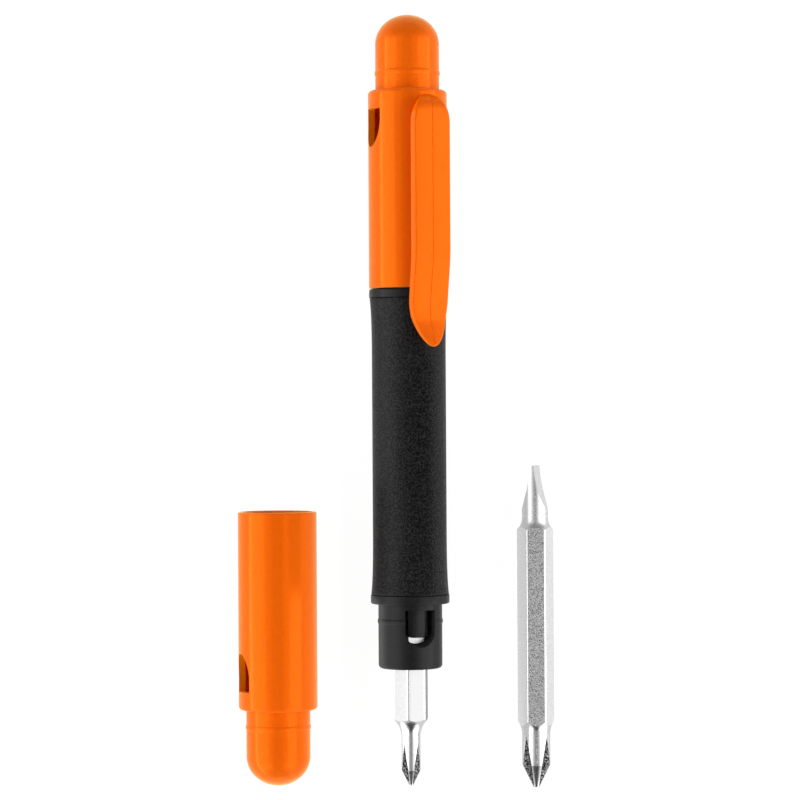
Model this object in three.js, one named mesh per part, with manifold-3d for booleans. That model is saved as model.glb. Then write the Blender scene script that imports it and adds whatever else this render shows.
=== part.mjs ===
// Pen-shaped pocket screwdriver set, lying on the plane z = 0 with every long axis along Y.
// A handle with the same socket at both ends carries a clip cap at the top and a bit at the bottom.
// The plain cap, taken off, lies on its left, and the spare bit on its right.
// Millimetres, +Z up. Angles round a long axis are measured from +Z towards +X.

import * as THREE from "three";
import { mergeVertices } from "three/addons/utils/BufferGeometryUtils.js";
import Module from "manifold-3d";

const wasm = await Module();
wasm.setup();

// Handle core: two flanges, and outside each of them a collar with a snap bead
const BARREL_LENGTH = 48.7; // between the outer faces of the flanges
const FLANGE_LENGTH = 1.35;
const FLANGE_EDGE = 0.3;
const COLLAR_DIAMETER = 9.9;
const COLLAR_LENGTH = 10.0;
const COLLAR_EDGE = 0.6;
const BEAD_HEIGHT = 0.12;
const BEAD_WIDTH = 0.85;
const BEAD_OFFSET = 2.7; // from the flange or shoulder to the middle of the bead
const WEB_THICKNESS = 4.2; // solid middle between the two sockets

// Grip moulded over the core between the flanges
const GRIP_WALL = 1.0;
const GRIP_WAIST_DEPTH = 0.37; // below the flange
const GRIP_END_DEPTH = 0.08;
const GRIP_FLARE_LENGTH = 9.0;
const GRIP_FLARE_BEND = 2.5; // from the grip's end to the bend of its flare
const GRIP_CLEARANCE = 0.05;

// Caps: a tube, and on its shoulder a hollow boss that repeats the collar and ends in a dome
const CAP_WALL = 0.97;
const CAP_TUBE_LENGTH = 30.6;
const CAP_CLEARANCE = 0.06; // between a bead and the bore that slides over it
const CAP_SEAT_GAP = 0.1; // between the rim of a seated cap and the flange
const BOSS_LENGTH = 11.8; // with its dome
const BOSS_WALL = 1.0;
const DOME_HEIGHT = 4.55;
const SHOULDER_EDGE = 0.55;
const RIM_EDGE = 0.25;
const MOUTH_CHAMFER = 0.3;

// Arched windows: straight across the top, round at the foot
const CAP_WINDOW_WIDTH = 5.1;
const CAP_WINDOW_HEIGHT = 5.9;
const CAP_WINDOW_ARCH = 4.2; // height of its rounded part
const CAP_WINDOW_SETBACK = 2.9; // from the shoulder
const COLLAR_WINDOW_WIDTH = 4.9;
const COLLAR_WINDOW_HEIGHT = 5.7;
const COLLAR_WINDOW_SETBACK = 0.85; // from the flange

// Sprung tongue that hangs in each collar's window and presses on a flat of the bit
const LATCH_SIDE_SLOT = 0.84;
const LATCH_END_SLOT = 1.45;
const LATCH_ROOT_GAP = 0.3;
const LATCH_RECESS = 1.3; // of its outer face below the collar
const LATCH_CORNER = 0.7;

// Pocket clip: a root on the cap, a straight bar, a heel that rests near the grip and a toe that turns out
const CLIP_WIDTH = 6.15;
const CLIP_THICKNESS = 1.35;
const CLIP_GAP = 1.1; // between the bar and the cap
const CLIP_TOP_SETBACK = 1.0; // from the shoulder
const CLIP_ARCH_HEIGHT = 4.6; // of its rounded top, seen from the front
const CLIP_CROWN_LENGTH = 3.6; // over which the top of the clip rises from the cap
const CLIP_ROOT_LENGTH = 7.0;
const CLIP_ROOT_WIDTH = 3.0;
const CLIP_ROOT_FILLET = 0.8;
const CLIP_ROOT_GAP = 0.3;
const CLIP_STRAIGHT_LENGTH = 23.45; // from the top to where the bar starts to bend in
const CLIP_LENGTH = 38.75;
const CLIP_TOE_LENGTH = 4.9; // from the heel to the tip
const CLIP_HEEL_GAP = 0.15; // between the heel and the line of the flange
const CLIP_HEEL_THICKNESS = 1.2;
const CLIP_TOE_RISE = 1.5;
const CLIP_TOE_EASE = 1.0; // from the heel to the corner that the bend is drawn on
const CLIP_TIP_THICKNESS = 0.6;
const CLIP_POINT_LENGTH = 7.2; // over which the bar narrows to its tip
const CLIP_POINT_SHOULDER = 4.5; // the narrowing starts full, and its nose is blunt
const CLIP_NOSE_WIDTH = 3.4;

// Bits: a hexagonal shank, a turned neck at each end, a cross point and a flat blade
const HEX_ACROSS_FLATS = 5.0;
const HEX_LENGTH = 29.55;
const CROSS_END_LENGTH = 10.5;
const BLADE_END_LENGTH = 10.1;
const CROSS_FILLET = 3.8; // between a neck and the shank
const BLADE_FILLET = 2.5;
const TURNING_ALLOWANCE = 0.1; // by which the turned outline clears the corners of the shank
const CROSS_CONE_ANGLE = 26; // degrees, from the axis
const FLUTE_ANGLE = 100; // degrees, between the walls of a flute
const SMALL_BIT = {
  crossNeck: 2.93,
  crossTip: 0.62,
  fluteRoot: 0.6,
  fluteLength: 6.5,
  bladeNeck: 2.9,
  bladeThickness: 0.5,
  bladeFlatLength: 6.0,
};
const LARGE_BIT = {
  crossNeck: 4.4,
  crossTip: 1.0,
  fluteRoot: 0.96,
  fluteLength: 8.0,
  bladeNeck: 4.05,
  bladeThickness: 0.8,
  bladeFlatLength: 8.4,
};

// Fit of a bit in its socket
const SOCKET_CLEARANCE = 0.1; // on each flat
const SOCKET_END_CLEARANCE = 0.3;

// How the pieces lie
const PEN_TO_PLAIN_CAP = 20.55;
const PEN_TO_LARGE_BIT = 19.57;
const PLAIN_CAP_END_OFFSET = 0.1; // its dome, from the line of the fitted bit's tip
const LARGE_BIT_END_OFFSET = -0.8; // its tip, from the same line
const LATCH_ANGLE = THREE.MathUtils.degToRad(20.5);
const SMALL_BIT_ANGLE = THREE.MathUtils.degToRad(22); // it has some play in its socket
const CLIP_ANGLE = THREE.MathUtils.degToRad(26.5);
const CAP_WINDOW_ANGLE = THREE.MathUtils.degToRad(-69);
const LARGE_BLADE_ANGLE = THREE.MathUtils.degToRad(-14);

// Fineness of the facets
const ROUND_SIDES = 40;
const EDGE_STEPS = 2;
const BEAD_STEPS = 4;
const DOME_STEPS = 6;
const FLARE_STEPS = 4;
const FILLET_STEPS = 4;
const CURVE_STEPS = 8;
const CUT_OVERRUN = 1;

// Sizes that follow from the driving ones
const QUARTER_TURN = Math.PI / 2;
const COLLAR_RADIUS = COLLAR_DIAMETER / 2;
const CAP_BORE_RADIUS = COLLAR_RADIUS + BEAD_HEIGHT + CAP_CLEARANCE;
const BODY_RADIUS = CAP_BORE_RADIUS + CAP_WALL; // flanges are level with the caps
const BARREL_HALF = BARREL_LENGTH / 2;
const CORE_HALF = BARREL_HALF + COLLAR_LENGTH;
const CORE_RADIUS = BODY_RADIUS - GRIP_WAIST_DEPTH - GRIP_WALL;
const GRIP_HALF = BARREL_HALF - FLANGE_LENGTH - GRIP_CLEARANCE;
const CAP_LENGTH = CAP_TUBE_LENGTH + BOSS_LENGTH;
const DOME_BASE = CAP_LENGTH - DOME_HEIGHT;
const HEX_CORNER_RADIUS = HEX_ACROSS_FLATS / Math.sqrt(3);
const SOCKET_FLAT_RADIUS = HEX_ACROSS_FLATS / 2 + SOCKET_CLEARANCE;
const SOCKET_CORNER_RADIUS = (2 * SOCKET_FLAT_RADIUS) / Math.sqrt(3);
const SOCKET_DEPTH = CORE_HALF - WEB_THICKNESS / 2;
const BIT_LENGTH = CROSS_END_LENGTH + HEX_LENGTH + BLADE_END_LENGTH;
const BIT_STICK_OUT = BIT_LENGTH - SOCKET_DEPTH + SOCKET_END_CLEARANCE;
const SMALL_BIT_TIP = -CORE_HALF - BIT_STICK_OUT;

const orangePlastic = new THREE.MeshStandardMaterial({ color: 0xf2700c, roughness: 0.4, metalness: 0 });
const blackPlastic = new THREE.MeshStandardMaterial({ color: 0x2b2b2b, roughness: 0.45, metalness: 0 });
const blackRubber = new THREE.MeshStandardMaterial({ color: 0x1d1d1d, roughness: 0.75, metalness: 0 });
const brightSteel = new THREE.MeshStandardMaterial({ color: 0xcfcfcf, roughness: 0.3, metalness: 1 });

const point = (x, y) => new THREE.Vector2(x, y);

// Points of an elliptic arc, with both of its ends.
function arc(x, y, radiusX, radiusY, from, to, steps) {
  return new THREE.EllipseCurve(x, y, radiusX, radiusY, from, to, from > to).getPoints(steps);
}

// A rounded outer edge of a turned profile that runs upwards: from below, or over the top.
const lowerEdge = (radius, y, edge) =>
  arc(radius - edge, y + edge, edge, edge, -QUARTER_TURN, 0, EDGE_STEPS);
const upperEdge = (radius, y, edge) =>
  arc(radius - edge, y - edge, edge, edge, 0, QUARTER_TURN, EDGE_STEPS);

// The snap bead on a collar or boss, as a shallow arc standing on its surface.
function bead(radius, y) {
  const halfWidth = BEAD_WIDTH / 2;
  const arcRadius = (BEAD_HEIGHT ** 2 + halfWidth ** 2) / (2 * BEAD_HEIGHT);
  const reach = Math.asin(halfWidth / arcRadius);
  return arc(radius + BEAD_HEIGHT - arcRadius, y, arcRadius, arcRadius, -reach, reach, BEAD_STEPS);
}

const turned = (profile) => new THREE.LatheGeometry(profile, ROUND_SIDES);

// A closed geometry as a solid that can be joined and cut.
function solidOf(geometry) {
  const bare = geometry.clone();
  bare.deleteAttribute("normal");
  bare.deleteAttribute("uv");
  const merged = mergeVertices(bare);
  const vertProperties = merged.getAttribute("position").array;
  const triVerts = new Uint32Array(merged.getIndex().array);
  return new wasm.Manifold(new wasm.Mesh({ numProp: 3, vertProperties, triVerts }));
}

function geometryOf(solid) {
  const mesh = solid.getMesh();
  const geometry = new THREE.BufferGeometry();
  geometry.setAttribute("position", new THREE.BufferAttribute(mesh.vertProperties, mesh.numProp));
  geometry.setIndex(new THREE.BufferAttribute(mesh.triVerts, 1));
  geometry.computeVertexNormals();
  return geometry;
}

const cutAway = (solid, cutters) =>
  cutters.reduce((rest, cutter) => rest.subtract(solidOf(cutter)), solid);

function extruded(shape, depth) {
  return new THREE.ExtrudeGeometry(shape, { depth, bevelEnabled: false, curveSegments: CURVE_STEPS });
}

// A hexagonal prism along Y, centred, with a flat facing +Z.
function hexPrism(cornerRadius, length) {
  return new THREE.CylinderGeometry(cornerRadius, cornerRadius, length, 6).rotateY(Math.PI / 6);
}

// A cutter for an arched window: straight edge at y = 0, round end towards -Y, reaching out along +Z.
function windowCutter(width, height, archHeight) {
  const half = width / 2;
  const archBase = archHeight - height;
  const outline = new THREE.Shape();
  outline.moveTo(-half, 0);
  outline.lineTo(-half, archBase);
  outline.absellipse(0, archBase, half, archHeight, Math.PI, 2 * Math.PI, false);
  outline.lineTo(half, 0);
  return extruded(outline, BODY_RADIUS + CUT_OVERRUN);
}

// The collar and flange at the lower end, as a turned profile from the axis up to the grip.
function coreEndProfile() {
  return [
    point(0, -CORE_HALF),
    ...lowerEdge(COLLAR_RADIUS, -CORE_HALF, COLLAR_EDGE),
    ...bead(COLLAR_RADIUS, -BARREL_HALF - BEAD_OFFSET),
    point(COLLAR_RADIUS, -BARREL_HALF),
    ...lowerEdge(BODY_RADIUS, -BARREL_HALF, FLANGE_EDGE),
    point(BODY_RADIUS, FLANGE_LENGTH - BARREL_HALF),
    point(CORE_RADIUS, FLANGE_LENGTH - BARREL_HALF),
  ];
}

function barrelCore() {
  const lowerEnd = coreEndProfile();
  const upperEnd = lowerEnd.map((p) => point(p.x, -p.y)).reverse();
  const cutters = [-1, 1].flatMap((end) => {
    const socketMiddle = end * (CORE_HALF + (CUT_OVERRUN - SOCKET_DEPTH) / 2);
    const socket = hexPrism(SOCKET_CORNER_RADIUS, SOCKET_DEPTH + CUT_OVERRUN);
    const window = windowCutter(COLLAR_WINDOW_WIDTH, COLLAR_WINDOW_HEIGHT, COLLAR_WINDOW_WIDTH / 2);
    window.rotateZ(end > 0 ? Math.PI : 0);
    return [
      socket.translate(0, socketMiddle, 0).rotateY(LATCH_ANGLE),
      window.translate(0, end * (BARREL_HALF + COLLAR_WINDOW_SETBACK), 0).rotateY(LATCH_ANGLE),
    ];
  });
  return geometryOf(cutAway(solidOf(turned([...lowerEnd, ...upperEnd])), cutters));
}

function gripSleeve() {
  const bore = CORE_RADIUS + GRIP_CLEARANCE;
  const endRadius = BODY_RADIUS - GRIP_END_DEPTH;
  const waistRadius = BODY_RADIUS - GRIP_WAIST_DEPTH;
  const lowerFlare = new THREE.QuadraticBezierCurve(
    point(endRadius, -GRIP_HALF),
    point(waistRadius, GRIP_FLARE_BEND - GRIP_HALF),
    point(waistRadius, GRIP_FLARE_LENGTH - GRIP_HALF),
  ).getPoints(FLARE_STEPS);
  const upperFlare = lowerFlare.map((p) => point(p.x, -p.y)).reverse();
  const start = point(bore, -GRIP_HALF);
  return turned([start, ...lowerFlare, ...upperFlare, point(bore, GRIP_HALF), start]);
}

// A tongue hanging from the straight edge of a collar's window, which is at y = 0.
function bitLatch() {
  const halfWidth = COLLAR_WINDOW_WIDTH / 2 - LATCH_SIDE_SLOT;
  const cornerX = halfWidth - LATCH_CORNER;
  const cornerY = LATCH_END_SLOT - COLLAR_WINDOW_HEIGHT + LATCH_CORNER;
  const outline = new THREE.Shape();
  outline.moveTo(-halfWidth, -LATCH_ROOT_GAP);
  outline.absarc(-cornerX, cornerY, LATCH_CORNER, Math.PI, 1.5 * Math.PI, false);
  outline.absarc(cornerX, cornerY, LATCH_CORNER, 1.5 * Math.PI, 2 * Math.PI, false);
  outline.lineTo(halfWidth, -LATCH_ROOT_GAP);
  const tongue = extruded(outline, COLLAR_RADIUS).translate(0, 0, SOCKET_FLAT_RADIUS);
  const outerRadius = COLLAR_RADIUS - LATCH_RECESS;
  const outside = new THREE.CylinderGeometry(outerRadius, outerRadius, 2 * COLLAR_LENGTH, ROUND_SIDES);
  return geometryOf(solidOf(tongue).intersect(solidOf(outside)));
}

// A cap with its open rim at y = 0, its dome towards +Y and its window facing +Z.
function cap() {
  const bossBore = COLLAR_RADIUS - BOSS_WALL;
  const shell = turned([
    ...arc(0, DOME_BASE, bossBore, DOME_HEIGHT - BOSS_WALL, QUARTER_TURN, 0, DOME_STEPS),
    point(bossBore, CAP_TUBE_LENGTH - CAP_WALL),
    point(CAP_BORE_RADIUS, CAP_TUBE_LENGTH - CAP_WALL),
    point(CAP_BORE_RADIUS, MOUTH_CHAMFER),
    point(CAP_BORE_RADIUS + MOUTH_CHAMFER, 0),
    ...lowerEdge(BODY_RADIUS, 0, RIM_EDGE),
    ...upperEdge(BODY_RADIUS, CAP_TUBE_LENGTH, SHOULDER_EDGE),
    point(COLLAR_RADIUS, CAP_TUBE_LENGTH),
    ...bead(COLLAR_RADIUS, CAP_TUBE_LENGTH + BEAD_OFFSET),
    ...arc(0, DOME_BASE, COLLAR_RADIUS, DOME_HEIGHT, 0, QUARTER_TURN, DOME_STEPS),
  ]);
  const window = windowCutter(CAP_WINDOW_WIDTH, CAP_WINDOW_HEIGHT, CAP_WINDOW_ARCH);
  window.translate(0, CAP_TUBE_LENGTH - CAP_WINDOW_SETBACK, 0);
  return geometryOf(cutAway(solidOf(shell), [window]));
}

// The clip seen from its side, as radius and height above the cap's rim: with its root, or the bar alone.
function clipSideOutline(withRoot) {
  const top = CAP_TUBE_LENGTH - CLIP_TOP_SETBACK;
  const tip = top - CLIP_LENGTH;
  const bend = top - CLIP_STRAIGHT_LENGTH;
  const heel = tip + CLIP_TOE_LENGTH;
  const bendEase = (bend - heel) / 2;
  const rootFoot = top - CLIP_ROOT_LENGTH;
  const inner = BODY_RADIUS + CLIP_GAP;
  const outer = inner + CLIP_THICKNESS;
  const heelInner = BODY_RADIUS + CLIP_HEEL_GAP;
  const heelOuter = heelInner + CLIP_HEEL_THICKNESS;
  const tipOuter = heelOuter + CLIP_TOE_RISE;
  const tipInner = tipOuter - CLIP_TIP_THICKNESS;
  const outline = new THREE.Shape();
  if (withRoot) {
    outline.moveTo(0, rootFoot);
    outline.lineTo(inner - CLIP_ROOT_FILLET, rootFoot);
    outline.quadraticCurveTo(inner, rootFoot, inner, rootFoot - CLIP_ROOT_FILLET);
  } else {
    outline.moveTo(BODY_RADIUS, top);
    outline.quadraticCurveTo(inner, top - CLIP_CROWN_LENGTH / 2, inner, top - CLIP_CROWN_LENGTH);
  }
  outline.lineTo(inner, bend);
  outline.bezierCurveTo(inner, bend - bendEase, heelInner, heel + bendEase, heelInner, heel);
  outline.quadraticCurveTo(heelInner, heel - CLIP_TOE_EASE, tipInner, tip);
  outline.lineTo(tipOuter, tip);
  outline.quadraticCurveTo(heelOuter, heel - CLIP_TOE_EASE, heelOuter, heel);
  outline.bezierCurveTo(heelOuter, heel + bendEase, outer, bend - bendEase, outer, bend);
  outline.lineTo(outer, top - CLIP_CROWN_LENGTH);
  outline.quadraticCurveTo(outer, top, BODY_RADIUS, top);
  if (withRoot) {
    outline.lineTo(0, top);
  }
  return outline;
}

// The clip seen from its front: a round top, straight sides and a narrowing, blunt tip.
function clipFrontOutline() {
  const top = CAP_TUBE_LENGTH - CLIP_TOP_SETBACK;
  const tip = top - CLIP_LENGTH;
  const half = CLIP_WIDTH / 2;
  const narrowing = tip + CLIP_POINT_LENGTH;
  const shoulder = tip + CLIP_POINT_SHOULDER;
  const nose = CLIP_NOSE_WIDTH / 2;
  const outline = new THREE.Shape();
  outline.moveTo(half, narrowing);
  outline.lineTo(half, top - CLIP_ARCH_HEIGHT);
  outline.absellipse(0, top - CLIP_ARCH_HEIGHT, half, CLIP_ARCH_HEIGHT, 0, Math.PI, false);
  outline.lineTo(-half, narrowing);
  outline.bezierCurveTo(-half, shoulder, -nose, tip, 0, tip);
  outline.bezierCurveTo(nose, tip, half, shoulder, half, narrowing);
  return outline;
}

// The clip on the side of the cap that faces +Z, in the cap's own frame.
function pocketClip() {
  const reach = BODY_RADIUS + CLIP_GAP + CLIP_THICKNESS + CLIP_TOE_RISE;
  const sideSlab = (withRoot, width) =>
    solidOf(extruded(clipSideOutline(withRoot), width).translate(0, 0, -width / 2).rotateY(-QUARTER_TURN));
  const profile = sideSlab(false, CLIP_WIDTH + CUT_OVERRUN).add(sideSlab(true, CLIP_ROOT_WIDTH));
  const front = extruded(clipFrontOutline(), reach + CUT_OVERRUN);
  const seatRadius = BODY_RADIUS + CLIP_ROOT_GAP;
  const seat = new THREE.CylinderGeometry(seatRadius, seatRadius, 2 * CAP_LENGTH, ROUND_SIDES);
  const blank = profile.intersect(solidOf(front));
  return geometryOf(cutAway(blank, [seat.translate(0, CAP_LENGTH - CLIP_ROOT_LENGTH, 0)]));
}

// The concave fillet between a neck and the shank, from the neck upwards. It ends at height y.
function neckFillet(neckRadius, fillet, y) {
  const sweep = Math.acos(1 - (HEX_CORNER_RADIUS + TURNING_ALLOWANCE - neckRadius) / fillet);
  const start = y - fillet * Math.sin(sweep);
  return arc(neckRadius + fillet, start, fillet, fillet, Math.PI, Math.PI - sweep, FILLET_STEPS);
}

// The outline that a bit is turned to, from its cross point at y = 0 up to its blade.
function bitProfile(bit) {
  const crossRadius = bit.crossNeck / 2;
  const tipRadius = bit.crossTip / 2;
  const coneLength = (crossRadius - tipRadius) / Math.tan(THREE.MathUtils.degToRad(CROSS_CONE_ANGLE));
  const bladeFillet = neckFillet(bit.bladeNeck / 2, BLADE_FILLET, BLADE_END_LENGTH);
  return [
    point(0, 0),
    point(tipRadius, 0),
    point(crossRadius, coneLength),
    ...neckFillet(crossRadius, CROSS_FILLET, CROSS_END_LENGTH),
    ...bladeFillet.map((p) => point(p.x, BIT_LENGTH - p.y)).reverse(),
    point(bit.bladeNeck / 2, BIT_LENGTH),
    point(0, BIT_LENGTH),
  ];
}

// A V-shaped cutter for one flute: it starts at the root radius on the tip and runs out of the neck.
function fluteCutter(bit, angle) {
  const depth = bit.crossNeck;
  const halfWidth = depth * Math.tan(THREE.MathUtils.degToRad(FLUTE_ANGLE / 2));
  const section = new THREE.Shape([point(0, 0), point(halfWidth, depth), point(-halfWidth, depth)]);
  const slope = Math.atan((bit.crossNeck - bit.fluteRoot) / 2 / bit.fluteLength);
  const length = bit.fluteLength + 2 * CUT_OVERRUN;
  return extruded(section, length)
    .rotateX(QUARTER_TURN)
    .translate(0, length - CUT_OVERRUN, 0)
    .rotateX(slope)
    .translate(0, 0, bit.fluteRoot / 2)
    .rotateY(angle);
}

// A cutter for one of the two ground flats of the blade, which faces along the given angle from +X.
function flatCutter(bit, angle) {
  const slope = Math.atan((bit.bladeNeck - bit.bladeThickness) / 2 / bit.bladeFlatLength);
  const height = 2 * (bit.bladeFlatLength + CUT_OVERRUN);
  return new THREE.BoxGeometry(bit.bladeNeck, height, 2 * bit.bladeNeck)
    .translate(bit.bladeNeck / 2, 0, 0)
    .rotateZ(slope)
    .translate(bit.bladeThickness / 2, BIT_LENGTH, 0)
    .rotateY(angle);
}

// A bit with its cross point at y = 0, its blade towards +Y and a flat of its shank facing +Z.
function bitGeometry(bit, crossAngle, bladeAngle) {
  const bar = hexPrism(HEX_CORNER_RADIUS, BIT_LENGTH + CUT_OVERRUN).translate(0, BIT_LENGTH / 2, 0);
  const blank = solidOf(bar).intersect(solidOf(turned(bitProfile(bit))));
  const flutes = [0.5, 1.5, 2.5, 3.5].map((turn) => fluteCutter(bit, crossAngle + turn * QUARTER_TURN));
  const flats = [0, Math.PI].map((turn) => flatCutter(bit, bladeAngle + turn));
  return geometryOf(cutAway(blank, [...flutes, ...flats]));
}

function named(name, geometry, material) {
  const mesh = new THREE.Mesh(geometry, material);
  mesh.name = name;
  return mesh;
}

// Handle
const pen = new THREE.Group();
pen.position.z = BODY_RADIUS;
pen.add(named("barrel_core", barrelCore(), blackPlastic));
pen.add(named("grip_sleeve", gripSleeve(), blackRubber));

const latchHeight = BARREL_HALF + COLLAR_WINDOW_SETBACK;
const lowerLatch = named("lower_bit_latch", bitLatch(), blackPlastic);
lowerLatch.position.y = -latchHeight;
lowerLatch.rotation.y = LATCH_ANGLE;
const upperLatch = named("upper_bit_latch", bitLatch(), blackPlastic);
upperLatch.position.y = latchHeight;
upperLatch.rotation.set(0, LATCH_ANGLE, Math.PI);
pen.add(lowerLatch, upperLatch);

// Bit in the lower socket, its cross turned so that one wing faces straight up
const smallBit = named("small_bit", bitGeometry(SMALL_BIT, -SMALL_BIT_ANGLE, 0), brightSteel);
smallBit.position.y = SMALL_BIT_TIP;
smallBit.rotation.y = SMALL_BIT_ANGLE;
pen.add(smallBit);

// Clip cap, its window turned as the plain cap's is
const clipCapGroup = new THREE.Group();
clipCapGroup.position.y = BARREL_HALF + CAP_SEAT_GAP;
clipCapGroup.rotation.y = CLIP_ANGLE;
const clipCap = named("clip_cap", cap(), orangePlastic);
clipCap.rotation.y = CAP_WINDOW_ANGLE - CLIP_ANGLE;
clipCapGroup.add(clipCap, named("pocket_clip", pocketClip(), orangePlastic));
pen.add(clipCapGroup);

// Loose pieces
const plainCap = named("plain_cap", cap(), orangePlastic);
plainCap.position.set(-PEN_TO_PLAIN_CAP, SMALL_BIT_TIP + PLAIN_CAP_END_OFFSET + CAP_LENGTH, BODY_RADIUS);
plainCap.rotation.set(0, CAP_WINDOW_ANGLE, Math.PI);

const largeBit = named("large_bit", bitGeometry(LARGE_BIT, 0, LARGE_BLADE_ANGLE), brightSteel);
largeBit.position.set(PEN_TO_LARGE_BIT, SMALL_BIT_TIP + LARGE_BIT_END_OFFSET, HEX_ACROSS_FLATS / 2);

const screwdriverSet = new THREE.Group();
screwdriverSet.add(pen, plainCap, largeBit);

// The origin is the middle of the set's box, on the surface that it lies on.
const box = new THREE.Box3().setFromObject(screwdriverSet, true);
const middle = box.getCenter(new THREE.Vector3());
screwdriverSet.position.set(-middle.x, -middle.y, -box.min.z);

export default screwdriverSet;
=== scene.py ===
"""Looks of the pocket screwdriver set: smooth pieces, their finishes, a small studio and the camera."""

import math

import bmesh
import bpy
from mathutils import Matrix, Vector
from mathutils.geometry import interpolate_bezier


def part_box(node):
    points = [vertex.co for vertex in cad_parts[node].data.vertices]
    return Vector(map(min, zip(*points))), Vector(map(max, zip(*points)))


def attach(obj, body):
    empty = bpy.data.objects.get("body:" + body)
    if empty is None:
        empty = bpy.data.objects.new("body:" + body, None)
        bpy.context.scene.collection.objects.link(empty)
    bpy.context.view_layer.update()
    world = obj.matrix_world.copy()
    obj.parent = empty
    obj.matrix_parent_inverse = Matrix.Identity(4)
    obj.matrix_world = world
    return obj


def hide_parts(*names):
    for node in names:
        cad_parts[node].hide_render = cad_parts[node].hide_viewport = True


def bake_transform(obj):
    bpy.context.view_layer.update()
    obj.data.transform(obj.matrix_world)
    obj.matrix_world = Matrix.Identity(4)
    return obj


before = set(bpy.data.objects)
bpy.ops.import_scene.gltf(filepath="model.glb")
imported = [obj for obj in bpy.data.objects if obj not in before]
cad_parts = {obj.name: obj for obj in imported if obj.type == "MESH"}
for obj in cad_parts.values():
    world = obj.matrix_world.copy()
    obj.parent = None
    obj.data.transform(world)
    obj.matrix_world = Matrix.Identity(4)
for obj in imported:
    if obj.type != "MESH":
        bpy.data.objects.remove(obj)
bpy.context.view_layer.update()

MM = 0.001

# Handle core, in millimetres
FLANGE_LENGTH = 1.35
FLANGE_EDGE = 0.3
COLLAR_RADIUS = 4.95
COLLAR_LENGTH = 10.0
COLLAR_EDGE = 0.6
COLLAR_FILLET = 0.12
BEAD_HEIGHT = 0.12
BEAD_WIDTH = 0.85
BEAD_OFFSET = 2.7
SOCKET_ACROSS_FLATS = 5.2
SOCKET_DEPTH = 32.25

# Grip
GRIP_WAIST_DEPTH = 0.37
GRIP_END_DEPTH = 0.08
GRIP_WALL = 1.0
GRIP_FLARE_LENGTH = 9.0
GRIP_FLARE_BEND = 2.5
GRIP_LIP = 0.14
GRIP_BORE_CLEARANCE = 0.05

# Caps
CAP_WALL = 0.97
CAP_TUBE_LENGTH = 30.6
BOSS_LENGTH = 11.8
BOSS_WALL = 1.0
DOME_HEIGHT = 4.55
SHOULDER_EDGE = 0.55
RIM_EDGE = 0.25
MOUTH_CHAMFER = 0.3

# Windows and the tongue in a collar's window
CAP_WINDOW_WIDTH = 5.1
CAP_WINDOW_HEIGHT = 5.9
CAP_WINDOW_ARCH = 4.2
CAP_WINDOW_SETBACK = 2.9
COLLAR_WINDOW_WIDTH = 4.9
COLLAR_WINDOW_HEIGHT = 5.7
COLLAR_WINDOW_SETBACK = 0.85
COLLAR_WINDOW_DRAFT = 0.21
LATCH_SIDE_SLOT = 0.84
LATCH_END_SLOT = 1.45
LATCH_RECESS = 1.3
LATCH_CORNER = 0.7
LATCH_ROOT = 0.4
LATCH_EDGE = 0.15
LATCH_RIM_ANGLE = 50

# Pocket clip
CLIP_WIDTH = 6.15
CLIP_THICKNESS = 1.35
CLIP_GAP = 1.1
CLIP_LIP_THICKNESS = 0.35
CLIP_TOP_SETBACK = 1.0
CLIP_ARCH_HEIGHT = 4.6
CLIP_CROWN_LENGTH = 3.6
CLIP_ROOT_LENGTH = 7.0
CLIP_ROOT_WIDTH = 3.0
CLIP_ROOT_SINK = 0.3
CLIP_ROOT_TOP_SHARE = 0.4
CLIP_STRAIGHT_LENGTH = 23.45
CLIP_LENGTH = 38.75
CLIP_TOE_LENGTH = 4.9
CLIP_HEEL_GAP = 0.15
CLIP_HEEL_THICKNESS = 1.2
CLIP_TOE_RISE = 1.5
CLIP_TOE_EASE = 1.0
CLIP_TIP_THICKNESS = 0.6
CLIP_POINT_LENGTH = 7.2
CLIP_POINT_SHOULDER = 4.5
CLIP_NOSE_WIDTH = 3.4
CLIP_EDGE = 0.3
CLIP_CREASE_WIDTH = 0.16
CLIP_CREASE_DEPTH = 0.05

# Bits
HEX_ACROSS_FLATS = 5.0
HEX_CORNER = 0.4
HEX_HALF_ANGLE = 30
HEX_LENGTH = 29.55
CROSS_END_LENGTH = 10.5
BLADE_END_LENGTH = 10.1
CROSS_FILLET = 3.8
BLADE_FILLET = 2.5
TURNING_ALLOWANCE = 0.1
CROSS_CONE_ANGLE = 26
FLUTE_ANGLE = 100
WHEEL_RADIUS = 20.0
SMALL_BIT = dict(cross_neck=2.93, cross_tip=0.62, flute_root=0.6, flute_length=6.5,
                 blade_neck=2.9, blade_thickness=0.5, blade_flat=6.0)
LARGE_BIT = dict(cross_neck=4.4, cross_tip=1.0, flute_root=0.96, flute_length=8.0,
                 blade_neck=4.05, blade_thickness=0.55, blade_flat=7.0)

# How the pieces are turned about their long axes, in degrees from +Z towards +X
LATCH_ANGLE = 20.5
SMALL_BIT_ANGLE = 22
CLIP_ANGLE = 26.5
CAP_WINDOW_ANGLE = -69
LARGE_BLADE_ANGLE = -16.5

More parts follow.
